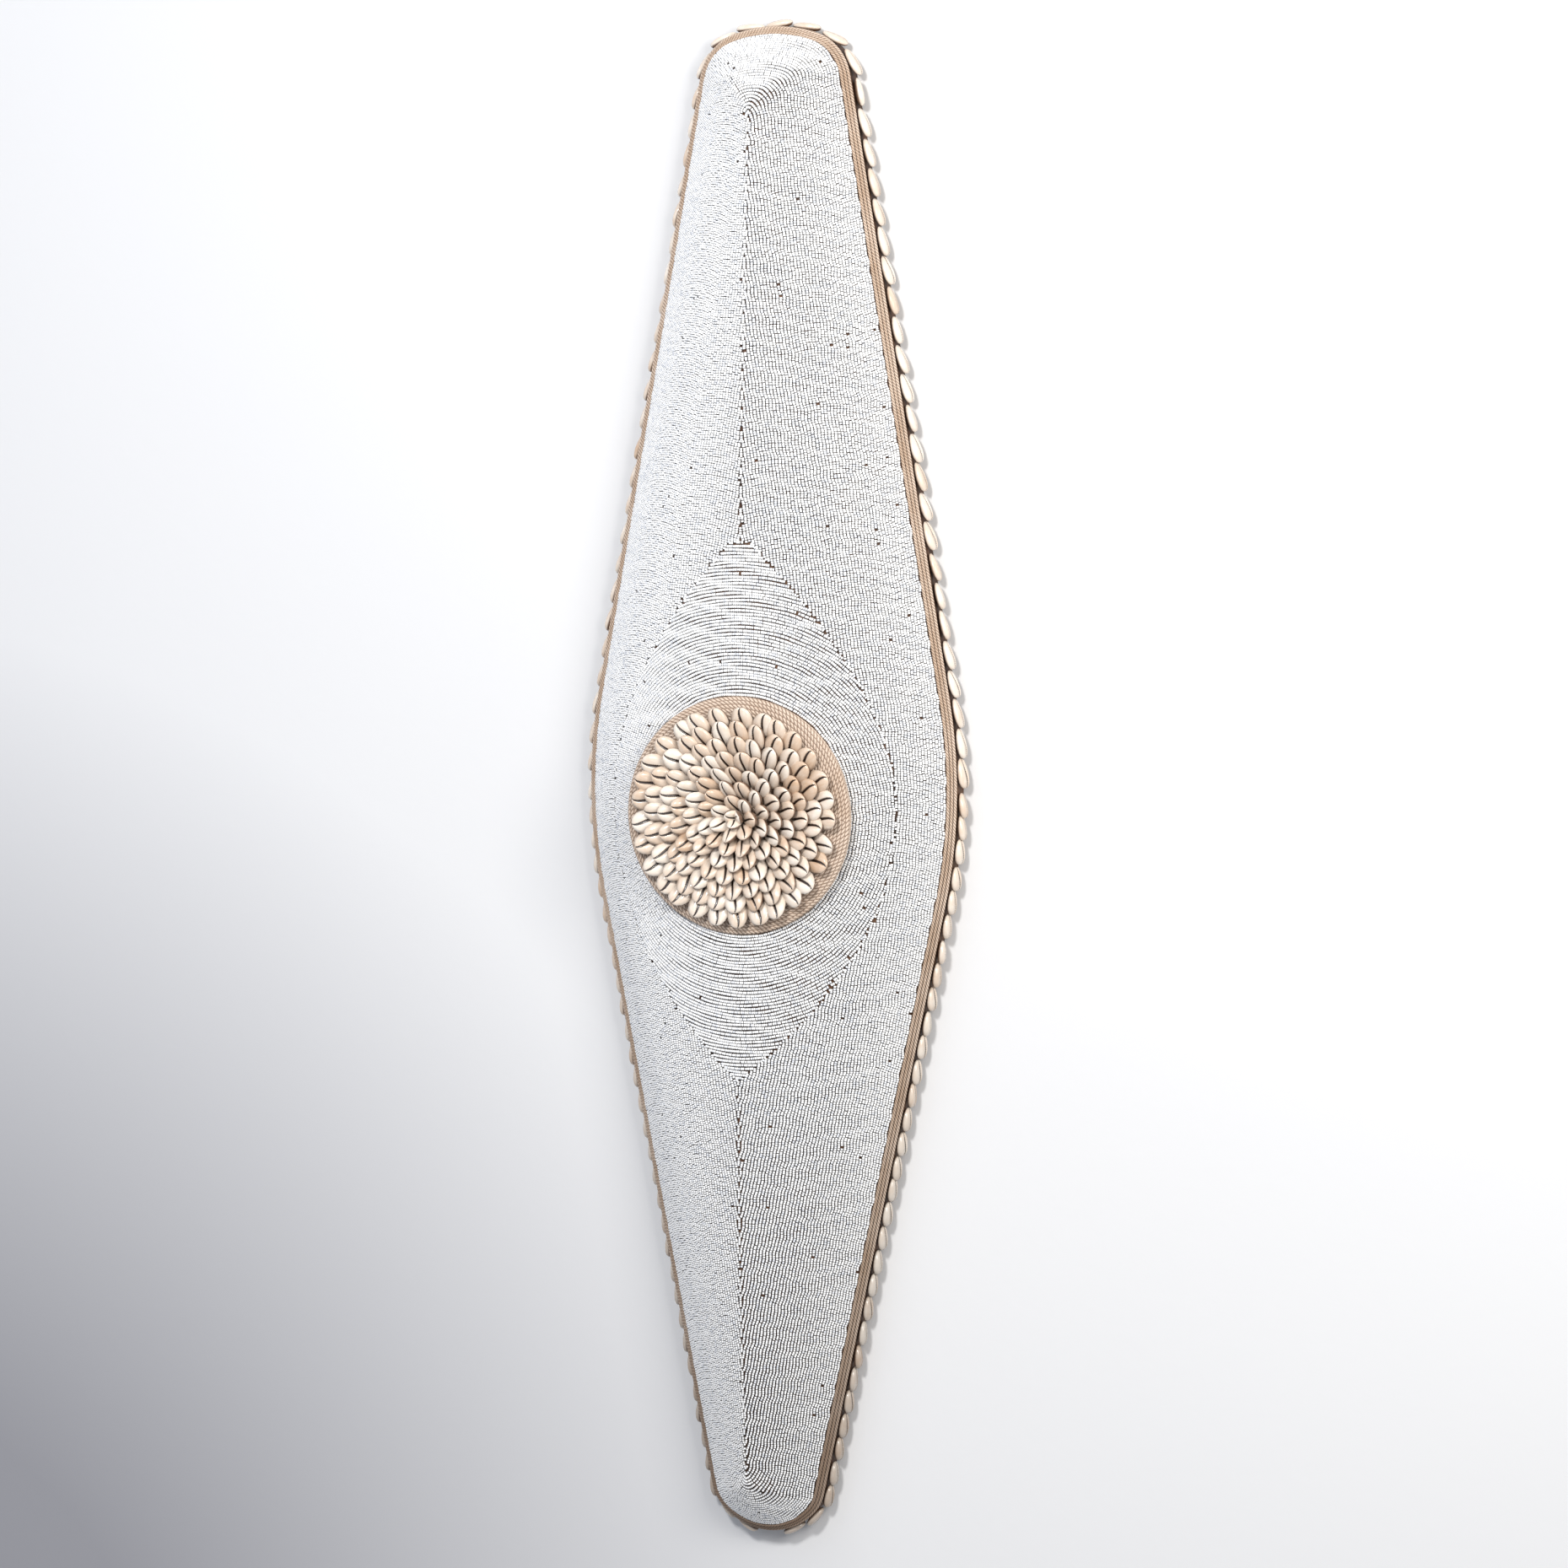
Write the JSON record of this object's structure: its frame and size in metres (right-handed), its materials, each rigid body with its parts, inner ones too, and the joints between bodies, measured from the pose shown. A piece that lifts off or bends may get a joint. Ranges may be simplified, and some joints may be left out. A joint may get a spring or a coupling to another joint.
{
  "type": "beaded shield",
  "caption": "Long carved wooden shield faced with rows of white beads, edged with jute cord and cowrie shells, with a round boss of overlapping cowries; it lies on its hollow back.",
  "frame": {"origin": "middle of the back, on the surface that the shield lies on", "axes": "+Z out of the beaded face, +Y along the shield towards its wider, squarer top end, +X across it to the right as seen from the front"},
  "size_m": [0.3204, 1.2018, 0.124],
  "materials": {
    "dark_wood": "dark stained, satin",
    "white_beads": "opaque glossy seed beads",
    "jute": "twisted natural fibre, matt",
    "cowrie": "polished natural shell"
  },
  "bodies": {
    "root": {"beadwork_flanks": "white_beads", "beadwork_lozenge": "white_beads", "boss_cowries_1": "cowrie", "boss_cowries_2": "cowrie", "boss_cowries_3": "cowrie", "boss_cowries_4": "cowrie", "boss_cowries_5": "cowrie", "boss_cowries_6": "cowrie", "boss_cowries_7": "cowrie", "boss_cowries_bud": "cowrie", "boss_pad": "jute", "carved_board": "dark_wood", "edge_cowries": "cowrie", "rim_cord_inner": "jute", "rim_cord_middle": "jute", "rim_cord_outer": "jute"}
  },
  "joints": []
}
